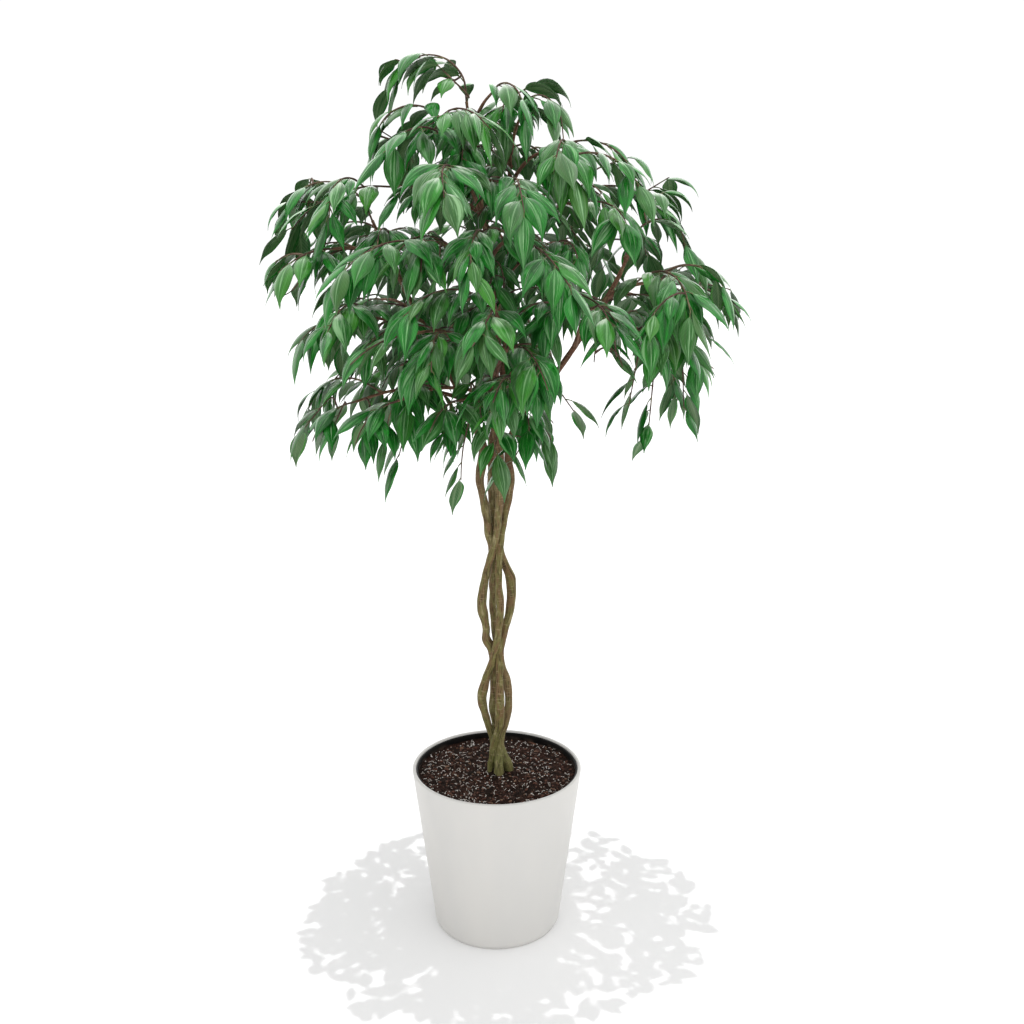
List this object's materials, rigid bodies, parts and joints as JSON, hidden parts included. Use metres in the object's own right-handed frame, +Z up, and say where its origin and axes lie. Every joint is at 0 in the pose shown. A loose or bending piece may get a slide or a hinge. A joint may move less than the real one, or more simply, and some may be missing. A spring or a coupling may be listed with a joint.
{
  "type": "potted weeping fig with a braided trunk",
  "caption": "Weeping fig: braided stems rise from a soil-filled grow pot in a tapered white outer pot and branch into a round crown of arching, drooping leafy sprays.",
  "frame": {"origin": "middle of the outer pot's flat underside, on the floor", "axes": "+Z up along the pot's axis and the braided trunk; +X towards the crown's long right-hand bough as seen from the front; -Y is the front"},
  "size_m": [0.7824, 0.6874, 1.5129],
  "materials": {
    "pot_white": "smooth satin warm white",
    "liner_black": "thin matte black",
    "soil_brown": "loose dark potting mix with bark chips and pale grit",
    "bark": "olive brown bark, redder and smoother in the crown",
    "leaf_green": "glossy deep green with a paler midrib, duller and greyer below"
  },
  "bodies": {
    "root": {"outer_pot": "pot_white", "grow_pot": "liner_black", "soil": "soil_brown", "stem_1": "bark", "stem_2": "bark", "stem_3": "bark", "stem_4": "bark", "spray_01": "leaf_green", "spray_02": "leaf_green", "spray_03": "leaf_green", "spray_04": "leaf_green", "spray_05": "leaf_green", "spray_06": "leaf_green", "spray_07": "leaf_green", "spray_08": "leaf_green", "spray_09": "leaf_green", "spray_10": "leaf_green", "spray_11": "leaf_green", "spray_12": "leaf_green", "spray_13": "leaf_green", "spray_14": "leaf_green", "spray_15": "leaf_green", "spray_16": "leaf_green", "spray_17": "leaf_green", "spray_18": "leaf_green", "spray_19": "leaf_green", "spray_20": "leaf_green", "spray_21": "leaf_green", "spray_22": "leaf_green", "spray_23": "leaf_green", "spray_24": "leaf_green", "spray_25": "leaf_green", "spray_26": "leaf_green", "spray_27": "leaf_green", "spray_28": "leaf_green", "spray_29": "leaf_green", "spray_30": "leaf_green", "spray_31": "leaf_green", "spray_32": "leaf_green", "spray_33": "leaf_green", "spray_34": "leaf_green", "spray_35": "leaf_green", "spray_36": "leaf_green", "spray_37": "leaf_green", "spray_38": "leaf_green", "spray_39": "leaf_green", "spray_40": "leaf_green", "spray_41": "leaf_green", "spray_42": "leaf_green", "spray_43": "leaf_green", "spray_44": "leaf_green", "spray_45": "leaf_green", "spray_46": "leaf_green", "spray_47": "leaf_green", "spray_48": "leaf_green", "spray_49": "leaf_green", "spray_50": "leaf_green", "spray_51": "leaf_green", "spray_52": "leaf_green", "spray_53": "leaf_green"}
  },
  "joints": []
}
